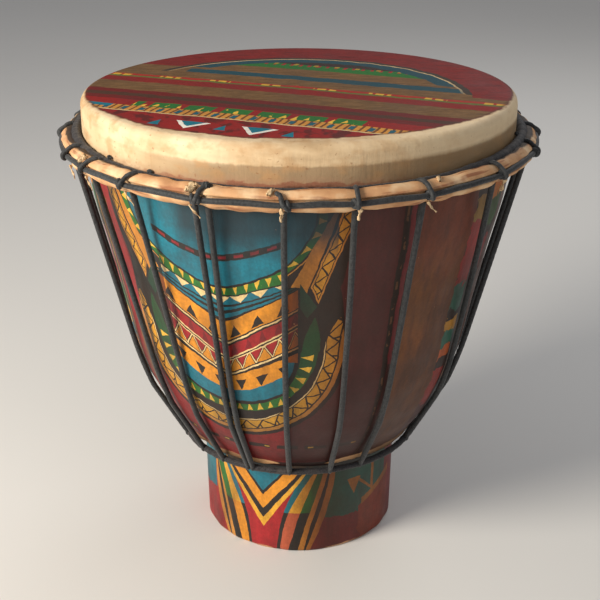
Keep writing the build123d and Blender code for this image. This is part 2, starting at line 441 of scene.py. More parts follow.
def paint_panels(finish, side, height):
    """Plain fields and narrow strips between one ornament and the next."""
    coat, noise = finish.coat, finish.noise
    # the field right of the ornament is maroon, a darker red that is partly painted shade
    coat(MAROON, (side > 17) & ((height < 132) | (side > 30)))
    coat("#8f5a30", side.between(-40.6, -38.4) & height.between(98, 240))
    coat(BLACK, side.between(47.4, 49.2))
    coat("#7d6048", side.between(48, 48.7) & (noise(5, 2, seed=27) > 0.54))
    coat("#8f2a38", side.between(49.4, 50.8) & (height > 150))
    coat(BLACK, side.between(50.8, 51.8))
    grain = noise(9, 3, (0.5, 0.5, 9), seed=3)
    panel = side > 51.8
    mottle = noise(22, 4, (1, 1, 2.4), 0.6, seed=63)
    coat("#81432a", panel)
    coat("#8a5a20", panel * height.ramp(236, 196) * mottle.ramp(0.34, 0.58))
    coat("#4b4326", panel * height.ramp(200, 176) * mottle.ramp(0.54, 0.44) * 0.5)
    coat("#5a3522", panel * grain.ramp(0.5, 0.66) * 0.5)
    tatter = (noise(7, 2, seed=65) - 0.5) * 4
    level = height + (noise(6, 2, seed=66) - 0.5) * 12
    first = finish.blocks(level, [
        (60, MAROON), (104, BRIGHT_RED), (131, BLACK), (138, "#ee8038"), (147, BRIGHT_TEAL),
        (157, YELLOW), (165, BLACK), (172, BRIGHT_TEAL), (188, BRIGHT_RED), (231, "#bfa24a"),
        (244, BLACK), (252, BLACK),
    ])
    second = finish.blocks(level, [
        (60, MAROON), (96, DEEP_TEAL), (120, ORANGE), (138, TEAL), (150, YELLOW), (160, GREEN),
        (176, RED), (214, BLACK), (222, GREEN), (240, ORANGE), (252, BLACK),
    ])
    coat(BLACK, side.between(72.8, 90.1) | (side < -44.6))
    coat(first, (side + tatter > 72.6) & (side < 79.4))
    coat(BROWN, side < -60)
    coat("#5d3d2b", (side < -60) * grain.ramp(0.5, 0.66) * 0.5)
    strips = [
        (81.4, 88.6, second), (-46, -45, DARK_RED), (-47.6, -46.4, YELLOW), (-58, -50.4, second),
        (-75.8, -74.6, BLACK), (-79, -76.4, TEAL), (-80.6, -79.6, BLACK),
    ]
    for low, high, colour in strips:
        coat(colour, side.between(low, high))
    # a broken dark line above the lip, with yellow specks
    along = side * 1.6
    near = side.abs() < 46
    coat(BLACK, height.between(89, 92.4) & (along.bounce(9) > 2.2) & near)
    coat(YELLOW, height.between(90, 91.4) & (along.bounce(14) > 12.4) & near)


# leaning stripes of the foot, outermost first: half width at heights of 0, 30 and 55, how much less of it
# there is on the left at the top, and the colours above and below the change
FOOT_CHANGE = 29
FOOT_STRIPES = [
    (27.5, 38, 43, 5.6, AMBER, AMBER),
    (25, 34, 39.5, 3.4, BLACK, BLACK),
    (24, 31, 38, 2.4, AMBER, AMBER),
    (20.5, 28, 35, -0.6, GREEN, BLACK),
    (15, 22.5, 31, 0.6, GOLD, ORANGE),
    (10, 16, 28, 0.6, TEAL, BLACK),
    (8, 13, 22.5, 0, RED, RED),
]
# chevrons on the foot: height of the point, degrees gained per millimetre, colour
CHEVRONS = [
    (16.6, 0.62, GOLD), (23.6, 0.69, BLACK), (30.6, 0.77, ORANGE), (40.6, 0.76, BLACK), (43.6, 0.80, TEAL),
]
PAINT_CHANGE = 70.5          # the foot's own painting lies below this height, within FOOT_WITHIN
FOOT_WITHIN = 66


def paint_foot(finish, side, half, height):
    """Nested chevrons and leaning stripes on the foot."""
    coat = finish.coat
    ragged = finish.noise(9, 2, seed=29) * 12
    coat(TEAL, (side < -38) & (height + ragged > side.abs().scaled(-0.3, 48)) & (side > -62))
    right = side > 24
    coat("#86292d", right)
    dip = (side - 52) * (1 / 34)
    field = right & (height + ragged > (dip * dip).scaled(14, 27)) & (side < 84)
    coat("#216c6a", field)
    coat("#99402a", (side + ragged > 66) & (height < side.scaled(0.48, -3)))
    triangle = (side - 56).abs() < (height - 37) * 0.42
    coat(BRONZE, triangle & (height < 48.5) & right)
    coat(BRONZE, ((side - 70.6).abs() < 1.1) & height.between(35, 58))
    coat(BRONZE, ((height - side.scaled(-0.95, 102.5)).abs() < 1.2) & side.between(60, 71))
    coat(BRONZE, ((height - side.scaled(0.48, -1.5)).abs() < 2.4) & side.between(62, 90))
    square = height * height
    upper = height > FOOT_CHANGE
    pull = square * (side < 0) * (1 / 3025)
    for foot, middle, top, tuck, high_colour, low_colour in FOOT_STRIPES:
        bend = ((top - foot) - (middle - foot) * 55 / 30) / (55 * 55 - 30 * 55)
        lean = (middle - foot) / 30 - 30 * bend
        inside = half < square * bend + height.scaled(lean, foot) - pull * tuck
        coat(low_colour, inside)
        if low_colour == ORANGE:
            coat("#b4583c", inside & (side > 0))
        if high_colour != low_colour:
            coat(high_colour, inside & upper)
    # painted shade over the right-hand part of the foot's stripes
    coat("#cfc0a0", side.ramp(8, 28) * side.ramp(54, 42), "MULTIPLY")
    for apex, spread, colour in CHEVRONS:
        coat(colour, half < (height - apex) * spread)


def shell_finish():
    """Painted wood: the ornament, then brush marks, shade, chips and the lip's worn edge."""
    finish = Finish("painted_wood", RED)
    coat, noise = finish.coat, finish.noise
    wobble = noise(17, 2, seed=1) - 0.5
    wobble_up = noise(15, 2, seed=5) - 0.5
    brush = noise(3.2, 3, seed=68) - 0.5
    brush_up = noise(3.2, 3, seed=69) - 0.5
    turned = finish.bearing() + wobble * 1.3 + brush * 0.55
    height = finish.z + wobble_up * 2.2 + brush_up * 1.3
    side = (turned - MOTIF_BEARING).wrapped(-MOTIF_REPEAT / 2, MOTIF_REPEAT / 2)
    half = side.abs()
    paint_panels(finish, side, height)
    paint_rings(finish, half, height)
    paint_arms(finish, half, height)
    paint_swags(finish, half, height)
    bowl, finish.colour = finish.colour, RED
    paint_foot(finish, side, half, height)
    foot, finish.colour = finish.colour, bowl
    coat(foot, (finish.z < PAINT_CHANGE) & (finish.radius() < FOOT_WITHIN))
    # brush marks and old varnish, a little darker towards the left, and painted shade over the right-hand
    # side
    finish.tone(noise(34, 3, seed=9), 0.3, 0.7, 0.16)
    streak = noise(5, 4, (1, 1, 7), 0.6, seed=2)
    finish.tone(streak, 0.25, 0.75, 0.20)
    finish.tone(noise(1.7, 3, seed=24), 0.25, 0.75, 0.15)
    varnish = noise(24, 5, (1, 1, 1.6), 0.68, seed=25)
    shady = (finish.bearing() + 4).ramp(0, 16) * (finish.bearing() < 150)
    coat("#3b2317", varnish.ramp(0.44, 0.76) * 0.62)
    coat("#e2d9d2", side.ramp(-14, -34), "MULTIPLY")
    # painted shade: the right-hand side is multiplied darker and browner
    coat("#dcc4ac", shady, "MULTIPLY")
    coat("#47291c", shady * 0.22)
    # painted shadow cast by the roll on the right, and painted shade towards the lip
    coat("#1e2b33", height.ramp(221, 240) * side.ramp(-11, -7) * (side < 31) * 0.84)
    coat("#2c1613", (finish.z > PAINT_CHANGE) * height.ramp(158, 92) * 0.52)
    # wear: chips of bare wood through the paint
    chips = noise(3.6, 4, seed=12)
    worn = noise(26, 2, seed=14).ramp(0.52, 0.70) * 0.75
    coat(WOOD, (chips > worn.scaled(-0.14, 0.81)) * 0.8)
    edge = (finish.z - 72.2).abs().scaled(-1, 2.2) | finish.z.scaled(-1, 1.6)
    edge_noise = finish.noise_round(24, 3, seed=17) * 3.4 + noise(4, 3, seed=18)
    front = (finish.bearing() - 1).abs().ramp(18, 8)
    aside = (finish.bearing() - 4).abs().ramp(25, 33)
    # painted shadow: the lip, which keeps no pale edge at the front, and the top of the foot just under it
    # are painted near black
    lip = finish.z.between(60, 73.6) * (finish.radius() > FOOT_WITHIN)
    coat("#241815", lip * 0.9)
    coat(BLACK, finish.z.ramp(58.8, 60.4) * (finish.z < PAINT_CHANGE) * 0.95)
    coat(PALE_WOOD, (edge + edge_noise - 2.2 - front * 2.6).ramp(0, 0.7) * aside.scaled(-0.55, 0.85))
    gloss = noise(14, 3, seed=20).ramp(0.2, 0.8).scaled(0.22, 0.38)
    relief = streak * 0.6 + noise(2.4, 2, seed=4) * 0.25
    return finish.done(gloss, relief, 0.35 * MM, specular=0.42)


def raw_wood_finish():
    """Bare wood inside the shell, with gouge marks."""
    finish = Finish("raw_wood", WOOD)
    rings = finish.noise(7, 4, (0.6, 0.6, 10), 0.6, seed=6)
    finish.coat("#8a5a34", rings.ramp(0.42, 0.66))
    finish.tone(finish.noise(30, 2, seed=8), 0.3, 0.7, 0.15)
    gouge = finish.bearing().bounce(4.5) * 0.2
    gloss = finish.noise(8).ramp(0.2, 0.8).scaled(0.15, 0.70)
    return finish.done(gloss, rings + gouge * 0.4, 0.5 * MM, 0.25)


# ================================================================ hide
HEAD_TILT = math.radians(20.5)       # the stripes on the playing surface run downhill to the right
HEAD_LEVEL = 280                     # what is above this height is the playing surface and its rim
COLLAR_WITHIN = 131.2                # the collar lies within this radius, the roll outside of ROLL_FROM
ROLL_FROM = 130.6


def paint_head(finish, wobble):
    """Stripes, blocks and chevrons on the playing surface, inside a worn rim."""
    coat, noise = finish.coat, finish.noise
    x = finish.x + wobble * 3
    y = finish.y + wobble * 3
    cos, sin = math.cos(HEAD_TILT), math.sin(HEAD_TILT)
    up = y * cos + x * sin
    along = x * cos - y * sin
    coat("#664929", finish.z > HEAD_LEVEL)
    ground = noise(1.7, 3, (7, 1, 1), 0.6, seed=31)
    coat("#7d5c38", (finish.z > HEAD_LEVEL) * ground.ramp(0.42, 0.62))
    dx, dy = x + 5, y + 17
    ring = (dx * dx + dy * dy).power(0.5)
    far = (up > 29) & (ring < 101)
    coat(GREEN, far & (up > 48))
    coat("#3a2a24", far & (up > 63))
    coat(RED, far & up.between(58, 63) & (along.bounce(3) > 1.9))
    coat("#a8862c", far & up.between(60, 64) & ((along + 4).bounce(7) > 5.6))
    coat("#1f4650", far & (ring > 91) & (up > 34))
    coat("#1f4650", up.between(18, 28.6) & along.between(-84, 96) & (ring < 103))
    rim_zone = (ring > 101) & (up > 16)
    coat("#cdb083", rim_zone * (ring < 102.5) * up.ramp(18, 46).scaled(0.75, 0.25))
    coat("#3d332a", rim_zone & ring.between(102.5, 106.5))
    red_rim = (ring > 106.5) & ((up > 32) | ((x > 0) & (up > 10)))
    coat("#7f1f1a", red_rim)
    coat("#4f1613", red_rim * ground.ramp(0.46, 0.66) * 0.7)
    # near stripes
    stripes = [
        (-3, 1.4, "#a02a1c"), (-6, -3.4, "#5d6a2e"), (-19, -7, "#801f18"), (-64, -40, "#681d18"),
        (-55, -48, "#4c2f20"),
    ]
    for low, high, colour in stripes:
        coat(colour, up.between(low, high))
    coat("#cfa136", up.between(-3.4, 0.2) & (along.bounce(17) > 10) & ((along + 3).bounce(3.6) > 1))
    near = up < -63
    coat("#8c1d18", near)
    blot = noise(8, 2, (1, 1.6, 1), seed=67)
    coat("#4a1c16", near * (up < -86) * blot.ramp(0.52, 0.60) * 0.75)
    row = up.between(-75, -64) & along.between(-74, 66)
    coat(GREEN, row & (along.bounce(11) > 2.6))
    specks = noise(7, 1, seed=57) > 0.47
    coat(YELLOW, row & specks & teeth(along * 1.25, up + 75 + wobble * 6, 4.4, 8, "up"))
    row = up.between(-85.6, -75)
    coat(AMBER, row)
    coat("#6e4420", row & (along.bounce(2.1) > 1.35))
    coat(DEEP_TEAL, row & ((along + 2).bounce(5.6) > 4) & up.between(-84, -77.5))
    coat(TEAL, row & (along < -84) & (up > -80))
    coat("#d6bd88", up.between(-87.2, -85.8))
    # chevrons with teal hearts in the near segment, and small teal peaks between them
    slide = (along + 23.6).wrapped(-19.2, 19.2).abs()
    rise = up + 112.5
    segment = up.between(-112.5, -97.5) & along.between(-38, 30)
    coat(WHITE, segment & (slide < rise * 0.70))
    coat(TEAL, segment & (slide < (rise - 4.6) * 0.70))
    between = (along + 4.4).wrapped(-19.2, 19.2).abs()
    peak = (between < (up + 99) * -0.36) & up.between(-109, -99)
    coat(TEAL, peak & along.between(-60, 60))


def hide_finish():
    """Goatskin: the bare hide of the collar and the roll, and the painted playing surface."""
    finish = Finish("goatskin", "#e2c7a0")
    coat, noise = finish.coat, finish.noise
    wobble = noise(10, 2, seed=33) - 0.5
    cloud = noise(30, 4, seed=35)
    coat("#cbab82", cloud.ramp(0.42, 0.72) * 0.8)
    streak = noise(3.2, 3, (1, 1, 9), 0.6, seed=37)
    coat("#b98a5a", streak.ramp(0.52, 0.85) * 0.35)
    smudge = finish.noise_round(30, 7, 4, seed=36)
    coat("#a98a66", smudge.ramp(0.5, 0.75) * 0.5)
    turned = finish.bearing()
    lower = (finish.z + smudge * 3 - streak * 2).ramp(278.6, 277.6) * turned.ramp(-46, -22)
    coat("#967c5e", lower * 0.78)
    # painted highlight on the upper collar at the front left
    left_collar_highlight = turned.ramp(-66, -48) * turned.ramp(6, -16) * finish.z.ramp(275, 279) * cloud.ramp(0.62, 0.40)
    coat("#fbe6c0", left_collar_highlight * 0.42)
    coat("#bd9264", finish.noise_round(13, 9, 4, seed=38).ramp(0.50, 0.66) * 0.6)
    spots = noise(2.2, 2, seed=39)
    coat("#8b5a36", (spots > 0.70) * 0.5)
    radius = finish.radius()
    # the collar darkens to a ragged reddish line above the roll, and below that is painted dark as shade in
    # the groove
    fine = noise(4, 4, (1, 1, 0.6), 0.6, seed=41) - 0.5
    ragged = fine * 5 + (noise(26, 2, seed=43) - 0.5) * 6
    base = (finish.z * -1 + 269.4 + ragged) * (radius < COLLAR_WITHIN)
    front = turned.ramp(-60, -25) * turned.ramp(40, 12)
    coat("#b98f72", base.ramp(-2.5, 1.5) * front * 0.5)
    coat("#8c4c3a", base.ramp(0.8, 1.8) * front * 0.65)
    coat("#4a3228", base.ramp(2.6, 4.2) * 0.8)
    coat("#2a2422", base.ramp(4, 5.6) * 0.9)
    # the roll is warmer, with dark seams; painted shade darkens its top beside the crown ring, more towards
    # the sides and back, and its inner edge by the collar
    roll = (radius > ROLL_FROM) & (finish.z < 270)
    coat("#dda878", roll * 0.75)
    fold = finish.noise_round(26, 2.6, 2, seed=45)
    coat("#965c40", roll * fold.ramp(0.56, 0.66) * 0.8)
    patch = noise(13, 3, seed=47)
    coat("#f3d7ae", roll * patch.ramp(0.5, 0.7) * 0.7)
    coat("#a8714f", roll * patch.ramp(0.48, 0.3) * 0.6)
    aside = finish.bearing().abs()
    uneven = (finish.noise_round(9, 3, seed=49) - 0.5) * 3
    inner = (aside.ramp(14, 80).power(0.8).scaled(8, 132.4) + uneven - radius).ramp(0, 1)
    top = finish.z.ramp(262.5, 264.5)
    coat("#36322f", roll * inner * top * 0.94)
    gully = (radius * -1 + 134.4).ramp(0, 1.6)
    coat("#33271f", roll * gully * 0.85)
    # painted highlight on the upper collar towards the right; towards the right and the back the lower
    # collar is darker, partly painted shade and partly dust
    right_collar_highlight = turned.ramp(8, 34) * turned.ramp(95, 75) * finish.z.ramp(276.6, 279)
    coat("#f4dcb4", right_collar_highlight * 0.55)
    shade_and_dust = turned.ramp(4, 40) | turned.ramp(-70, -110)
    patchy_shade_and_dust = smudge.ramp(0.15, 0.55) * 0.75
    coat("#8f7452", shade_and_dust * finish.z.ramp(279.6, 276) * (radius < COLLAR_WITHIN) * patchy_shade_and_dust)
    # paint on the playing surface, rubbed off towards the rim
    bare = finish.colour
    paint_head(finish, wobble)
    finish.tone(noise(2.6, 3, seed=51), 0.25, 0.75, 0.14)
    finish.tone(cloud, 0.3, 0.7, 0.10)
    deep = finish.y - 12
    reach = (finish.x * finish.x + deep * deep).power(0.5)
    rub = (noise(5, 4, seed=53) - 0.5) * 4 + (noise(28, 2, seed=55) - 0.5) * 5
    rim = radius - finish.y * 0.036 + rub * 0.3
    worn = (reach + rub).ramp(129.6, 131.4) | rim.ramp(127.2, 128.6)
    coat("#5f3524", (reach + rub * 0.6).ramp(127.4, 129.8) * 0.8)
    coat("#b08058", worn * 0.6)
    coat(bare, worn | (finish.z < HEAD_LEVEL))
    gloss = cloud.ramp(0.2, 0.8).scaled(0.20, 0.50)
    relief = streak * 0.5 + spots * 0.3 + patch * 0.8
    return finish.done(gloss, relief, 0.4 * MM, specular=0.14)


def tie_finish():
    """Pale twisted hide."""
    finish = Finish("hide_ties", "#d9bc93")
    finish.coat("#8d6b4b", finish.noise(1.8, 3, seed=61).ramp(0.45, 0.7))
    return finish.done(0.6, finish.noise(0.9, 2, seed=62), 0.2 * MM, 0.3)


# ================================================================ rope, cloth and steel
def rope_finish():
    """Black braided rope, with small pale flecks painted on as highlights."""
    finish = Finish("rope", "#323436")
    finish.coat("#1e2022", finish.noise(1.1, 3, (1, 1, 1.6), seed=71).ramp(0.42, 0.62))
    # pale flecks painted on as highlights
    finish.coat("#565550", finish.noise(0.7, 2, seed=73).ramp(0.60, 0.78) * 0.55)
    finish.tone(finish.noise(22, 2, seed=75), 0.3, 0.7, 0.20)
    fibres = finish.noise(0.45, 2, (1, 1, 3), seed=77)
    return finish.done(finish.noise(6).ramp(0.2, 0.8).scaled(0.2, 0.55), fibres, 0.15 * MM, 0.4, 0.15)


def wrap_finish():
    """Black cloth tape bound round a ring."""
    finish = Finish("ring_wrap", "#3c393b")
    finish.coat("#191a1c", finish.noise(0.8, 3, seed=81).ramp(0.4, 0.65))
    finish.coat("#58504a", finish.noise(9, 3, seed=83).ramp(0.55, 0.75) * 0.55)
    weave = finish.noise(0.5, 2, seed=85)
    return finish.done(0.72, weave, 0.15 * MM, 0.3, 0.1)


def steel_finish():
    """Steel bar with some rust."""
    finish = Finish("hoop_steel", "#8d8a86")
    finish.coat("#7a4a2c", finish.noise(5, 4, seed=91).ramp(0.55, 0.72) * 0.8)
    finish.shader.inputs["Metallic"].default_value = 0.9
    return finish.done(finish.noise(3, 3).ramp(0.2, 0.8).scaled(0.3, 0.3), finish.noise(0.6), 0.05 * MM)


def floor_finish():
    """Plain pale floor."""
    finish = Finish("studio_floor", "#e2e0dc")
    finish.tone(finish.noise(400, 2, seed=95), 0.3, 0.7, 0.01)
    return finish.done(0.8, specular=0.2)


# ================================================================ mesh making
def make_object(name, points, faces, materials, face_materials=None):
    """Smooth-shaded object from vertices and faces."""
    mesh = bpy.data.meshes.new(name)
    mesh.from_pydata(points.tolist(), [], [f.tolist() if hasattr(f, "tolist") else f for f in faces])
    mesh.polygons.foreach_set("use_smooth", [True] * len(mesh.polygons))
    for material in materials:
        mesh.materials.append(material)
    if face_materials is not None:
        mesh.polygons.foreach_set("material_index", face_materials)
    mesh.update()
    piece = bpy.data.objects.new(name, mesh)
    bpy.context.scene.collection.objects.link(piece)
    return piece


def grid_faces(rows, columns, close_rows, close_columns):
    """Quads of a grid of vertices numbered row by row."""
    i = np.arange(rows if close_rows else rows - 1)[:, None]
    j = np.arange(columns if close_columns else columns - 1)[None, :]
    below, above = i * columns, ((i + 1) % rows) * columns
    right = (j + 1) % columns
    quads = np.stack([below + j, below + right, above + right, above + j], -1)
    return quads.reshape(-1, 4)


def polar(radius, degrees, height):
    """Points at a radius, a bearing and a height."""
    angle = np.radians(degrees)
    return np.stack([radius * np.sin(angle), -radius * np.cos(angle), height + 0 * angle], -1)


def resample(points, step):
    """Points along a line at even spacing."""
    points = np.array(points, float)
    length = np.concatenate([[0], np.cumsum(np.linalg.norm(np.diff(points, axis=0), axis=1))])
    places = np.linspace(0, length[-1], max(2, int(round(length[-1] / step)) + 1))
    return np.stack([np.interp(places, length, points[:, k]) for k in range(points.shape[1])], -1)


def smooth_line(points, per_span=12):
    """Catmull-Rom curve through the points."""
    p = np.array(points, float)
    p = np.vstack([2 * p[0] - p[1], p, 2 * p[-1] - p[-2]])
    t = np.linspace(0, 1, per_span, endpoint=False)[:, None]
    out = []
    for a, b, c, d in zip(p, p[1:], p[2:], p[3:]):
        bend = (2 * a - 5 * b + 4 * c - d) * t**2
        out.append(0.5 * (2 * b + (c - a) * t + bend + (3 * b - a - 3 * c + d) * t**3))
    return np.vstack([*out, p[-2:-1]])


def waves(degrees, height, seed, count, lengths, heights=(20.0, 60.0)):
    """Gentle irregularity of about -1..1 over a turned surface, periodic round it."""
    rng = np.random.default_rng(seed)
    total = 0
    for _ in range(count):
        turns = rng.integers(*lengths)
        rise = rng.uniform(*heights) * MM
        phase, lift = rng.uniform(0, 2 * math.pi, 2)
        total = total + np.sin(np.radians(degrees) * turns + phase + np.sin(height / rise + lift) * 1.2)
    return total / math.sqrt(count)


def lathe(name, outline, segments, materials, move=None, face_material=None, closed=True):
    """Surface turned from an outline of (radius, height), going up its outside; move() makes it uneven."""
    outline = np.array(outline)
    degrees = np.arange(segments) * 360.0 / segments
    radius, turn = np.meshgrid(outline[:, 0], degrees, indexing="ij")
    height = np.repeat(outline[:, 1][:, None], segments, 1)
    if move is not None:
        radius, height = move(radius, turn, height)
    points = polar(radius, turn, height).reshape(-1, 3)
    faces = grid_faces(len(outline), segments, closed, True)
    index = None
    if face_material is not None:
        rows = np.arange(len(faces)) // segments
        index = [face_material(outline[r]) for r in rows]
    faces = list(faces)
    if not closed:
        first, last = len(points), len(points) + 1
        centre = [[0, 0, outline[0, 1]], [0, 0, outline[-1, 1]]]
        start = (len(outline) - 1) * segments
        j = np.arange(segments)
        after = (j + 1) % segments
        points = np.vstack([points, centre])
        faces += [[first, b, a] for a, b in zip(j, after)]
        faces += [[start + a, start + b, last] for a, b in zip(j, after)]
    return make_object(name, points, faces, materials, index)


def braid(turn, along, radius):
    """Radius of a braided rope's surface: strands that cross both ways."""
    pitch = 9.0 * MM
    lean = 2 * math.pi * along / pitch
    one = np.abs(np.sin(3 * turn + lean))
    other = np.abs(np.sin(3 * turn - lean))
    return radius * (0.91 + 0.09 * np.maximum(one, other) ** 0.7)


def bound(turn, along, radius):
    """Radius of a ring bound with cloth tape that overlaps itself."""
    step = np.mod(along / (5.5 * MM) + turn / (2 * math.pi), 1.0)
    return radius * (0.93 + 0.09 * step)


def rope_mesh(centres, sides, radius, section, around=20, closed=False, taper=None):
    """Vertices and faces of a rope: sides are directions across it that don't lie along it."""
    centres = np.array(centres)
    if closed:
        ahead = np.roll(centres, -1, 0) - np.roll(centres, 1, 0)
        steps = np.linalg.norm(np.roll(centres, -1, 0) - centres, axis=1)
        along = np.concatenate([[0], np.cumsum(steps)[:-1]])
    else:
        ahead = np.gradient(centres, axis=0)
        along = np.concatenate([[0], np.cumsum(np.linalg.norm(np.diff(centres, axis=0), axis=1))])
    ahead /= np.linalg.norm(ahead, axis=1)[:, None]
    normal = np.cross(sides, ahead)
    normal /= np.linalg.norm(normal, axis=1)[:, None]
    across = np.cross(ahead, normal)
    turn = np.arange(around) * 2 * math.pi / around
    thick = section(turn[None, :], along[:, None], radius)
    if taper is not None:
        thick = thick * taper(along / along[-1])[:, None]
    turn = turn[None, :, None]
    offset = normal[:, None, :] * np.cos(turn) + across[:, None, :] * np.sin(turn)
    points = (centres[:, None, :] + offset * thick[..., None]).reshape(-1, 3)
    faces = list(grid_faces(len(centres), around, closed, True))
    if not closed:
        count = len(points)
        points = np.vstack([points, centres[0], centres[-1]])
        start = (len(centres) - 1) * around
        faces += [[count, (j + 1) % around, j] for j in range(around)]
        faces += [[start + j, start + (j + 1) % around, count + 1] for j in range(around)]
    return points, faces


def joined(parts):
    """One set of vertices and faces from several."""
    points, faces, count = [], [], 0
    for part_points, part_faces in parts:
        points.append(part_points)
        faces += [[i + count for i in face] for face in part_faces]
        count += len(part_points)
    return np.vstack(points), faces


def whole_circle(section, step):
    """Centre line of a ring, and the upward direction at each of its points."""
    count = int(2 * math.pi * section[0] / step)
    degrees = np.arange(count) * 360.0 / count
    return degrees, np.tile([0.0, 0.0, 1.0], (count, 1))


# ================================================================ shell
# millimetres, as (radius, height)
BOWL_OUTSIDE = [(84.5, 87.0), (91.9, 100.5), (99.8, 118.7), (105.5, 137.3), (110.7, 163.8), (117.9, 198.9),
                (125.0, 228.8)]
BOWL_INSIDE = [(97.0, 163.8), (85.0, 118.7), (57.0, 88.5)]
THROAT = [(42.0, 78.0), (42.0, 58.0)]
COLLAR_BASE = 252.0
COLLAR_WALL = 13.0
LIP = [(63.0, 69.6), (64.0, 69.9), (73.4, 69.9), (74.3, 70.4), (75.1, 73.0), (75.4, 74.2)]
FOOT_RADIUS = 61.8
FOOT_BORE = 50.0


def shell_outline():
    """Closed outline of the shell, up its outside and down its inside, in metres."""
    top = (HEAD_TOP - SKIN) / MM - 0.2
    wide = SHELL_RADIUS / MM
    foot = [(FOOT_BORE + 1.4, 0.0), (FOOT_RADIUS - 1.5, 0.0), (FOOT_RADIUS - 0.4, 0.5), (FOOT_RADIUS, 1.6)]
    bowl = smooth_line([LIP[-1], *BOWL_OUTSIDE, (wide - 0.1, COLLAR_BASE)], 10)
    edge = [
        (wide, COLLAR_BASE + 4), (wide, top - 4), (wide - 1.2, top - 1.2), (wide - 4, top), (wide - 8, top),
        (wide - COLLAR_WALL, top - 6), (wide - COLLAR_WALL, COLLAR_BASE),
    ]
    inside = smooth_line([edge[-1], (111.0, 221.0), *BOWL_INSIDE, *THROAT], 8)[1:]
    outline = [*foot, *resample([foot[-1], LIP[0]], 2.0)[1:], *LIP[1:-1], *bowl, *edge, *inside[:-1],
               *resample([THROAT[-1], (FOOT_BORE, 1.4)], 3.0)]
    return np.array(outline) * MM


HEAD_DROP = 1.6 * MM          # the bearing edge was cut a little lower at the back
DROP_SPAN = (270.0 * MM, 285.0 * MM)
# heights, and the radius that divides the shell's outside from its inside at each, in metres
DIVIDE_HEIGHTS = [0, 0.069, 0.0700, 0.09, 0.25, 0.29]
DIVIDE_RADII = [0.060, 0.060, 0.0625, 0.072, 0.121, 0.124]


def lapped(radius, turn, height):
    """Heights once the top of the drum has been cut lower towards the back."""
    behind = (1 - np.cos(np.radians(turn))) / 2 * radius / HEAD_RADIUS
    low, high = DROP_SPAN
    return height - behind * HEAD_DROP * np.clip((height - low) / (high - low), 0, 1)


def carve(radius, turn, height):
    """Hand-carved unevenness: less on the collar, more on the bowl, foot and inside."""
    amount = np.clip((250 * MM - height) / (30 * MM), 0, 1) * 0.28 * MM
    lip = np.exp(-((height - 71.5 * MM) / (2.5 * MM)) ** 2)
    radius = radius + amount * waves(turn, height, 3, 7, (3, 26))
    radius = radius - lip * 0.5 * MM * np.clip(waves(turn, height, 5, 5, (9, 40)), 0, 2)
    height = lapped(radius, turn, height)
    low = np.clip((4 * MM - height) / (4 * MM), 0, 1)
    height = height + low * 0.25 * MM * np.clip(waves(turn, height, 8, 5, (5, 30)), 0, 2)
    return radius, height


def make_shell():
    def which(point):
        radius, height = point
        outside = radius > np.interp(height, DIVIDE_HEIGHTS, DIVIDE_RADII)
        return 0 if outside and height < HEAD_TOP - 3 * MM else 1

    finishes = [shell_finish(), raw_wood_finish()]
    shell = lathe("carved_shell", shell_outline(), 360, finishes, carve, which)
    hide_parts("shell")
    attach(shell, "drum")


# ================================================================ head
def groove(turn_angle, centre, clear):
    """Distance from the roll's middle to a round groove, for rays at the given angles."""
    away = centre - ROLL
    distance = np.hypot(*away)
    lean = turn_angle - math.atan2(away[1], away[0])
    inside = clear**2 - (distance * np.sin(lean)) ** 2
    hit = distance * np.cos(lean) - np.sqrt(np.maximum(inside, 0))
    return np.where((inside > 0) & (np.cos(lean) > 0), hit, 1.0)


def round_point(centre, radius, angles):
    """Points round a centre in the outline's plane, at the given angles in radians."""
    return list(np.stack([centre[0] + radius * np.cos(angles), centre[1] + radius * np.sin(angles)], -1))


def head_outline():
    """The hide's outline from the middle of its underside, round the roll and up to its middle again."""
    inner, outer = HEAD_RADIUS - SKIN, HEAD_RADIUS
    under = [(r * inner, HEAD_TOP - SKIN) for r in (0.02, 0.5, 0.95)]
    collar_in = [(inner, HEAD_TOP - 5 * MM), (inner, ROLL[1]), (inner, ROLL[1] - 2.6 * MM)]
    collar_in += [(inner + 1.5 * MM, ROLL[1] - 3.2 * MM)]
    angles = np.radians(np.arange(-142, 160, 4.0))
    radii = np.minimum(ROLL_THICK, np.minimum(
        groove(angles, CROWN, CROWN_THICK + 0.2 * MM),
        groove(angles, GIRTH, GIRTH_THICK + 0.1 * MM)))
    roll = round_point(ROLL, radii, angles)
    collar = resample([(outer, ROLL[1] + 3.4 * MM), (outer, HEAD_TOP - SHOULDER)], 1.1 * MM)
    bend = np.radians(np.arange(9, 91, 9.0))
    shoulder = round_point((outer - SHOULDER, HEAD_TOP - SHOULDER), SHOULDER, bend)
    top = [(r * MM, HEAD_TOP) for r in np.linspace(123, 2, 42)]
    return np.array([*under, *collar_in, *roll, *collar, *shoulder, *top])


def to_hitch(degrees):
    """Degrees from each bearing to the nearest hitch."""
    gaps = [np.abs((degrees - place + 180) % 360 - 180) for place in HITCH_BEARINGS]
    return np.minimum.reduce(gaps)


